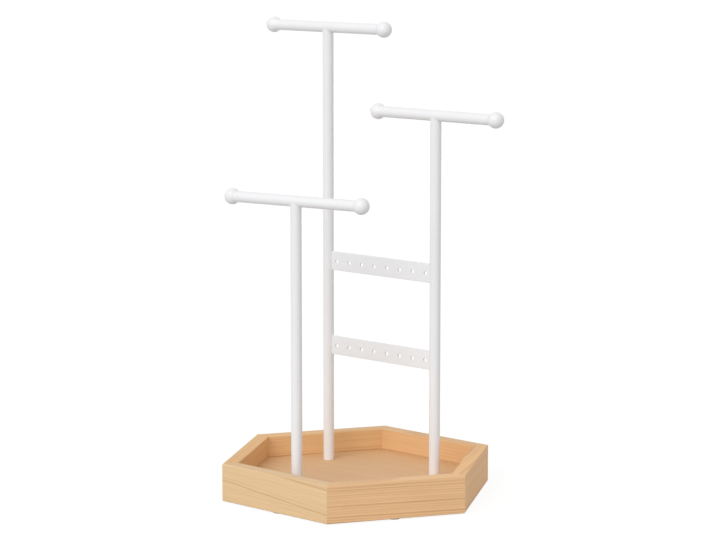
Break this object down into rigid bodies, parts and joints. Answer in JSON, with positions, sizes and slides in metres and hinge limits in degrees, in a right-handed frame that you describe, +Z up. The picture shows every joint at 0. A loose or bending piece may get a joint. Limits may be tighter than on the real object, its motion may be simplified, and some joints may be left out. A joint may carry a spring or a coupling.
{
  "type": "jewellery stand",
  "caption": "Hexagonal wooden tray with round posts of stepped height, each under a ball-ended crossbar for necklaces and bracelets, and perforated strips between the rear posts for earrings.",
  "frame": {"origin": "on the table, under the centre of the hexagonal tray", "axes": "+Z up; +X to the right along the front rail, the rear crossbars and the strips; the front looks to -Y"},
  "size_m": [0.2552, 0.201, 0.3886],
  "materials": {
    "pine": "clear satin lacquer on light straight-grained softwood",
    "white_coat": "smooth semi-gloss powder coat",
    "steel": "zinc plated",
    "pad": "matt pale silicone rubber"
  },
  "bodies": {
    "root": {"tray_rail_front": "pine", "foot_pad_front": "pad", "tray_rail_front_right": "pine", "foot_pad_front_right": "pad", "tray_rail_rear_right": "pine", "foot_pad_rear_right": "pad", "tray_rail_rear": "pine", "foot_pad_rear": "pad", "tray_rail_rear_left": "pine", "foot_pad_rear_left": "pad", "tray_rail_front_left": "pine", "foot_pad_front_left": "pad", "tray_floor": "pine", "tall_post": "white_coat", "tall_post_plug": "steel", "tall_crossbar": "white_coat", "tall_knob_right": "white_coat", "tall_knob_left": "white_coat", "middle_post": "white_coat", "middle_post_plug": "steel", "middle_crossbar": "white_coat", "middle_knob_right": "white_coat", "middle_knob_left": "white_coat", "short_post": "white_coat", "short_post_plug": "steel", "short_crossbar": "white_coat", "short_knob_right": "white_coat", "short_knob_left": "white_coat", "earring_strip_upper": "white_coat", "earring_strip_lower": "white_coat", "floor_screws": "steel", "floor_washers": "steel"}
  },
  "joints": []
}
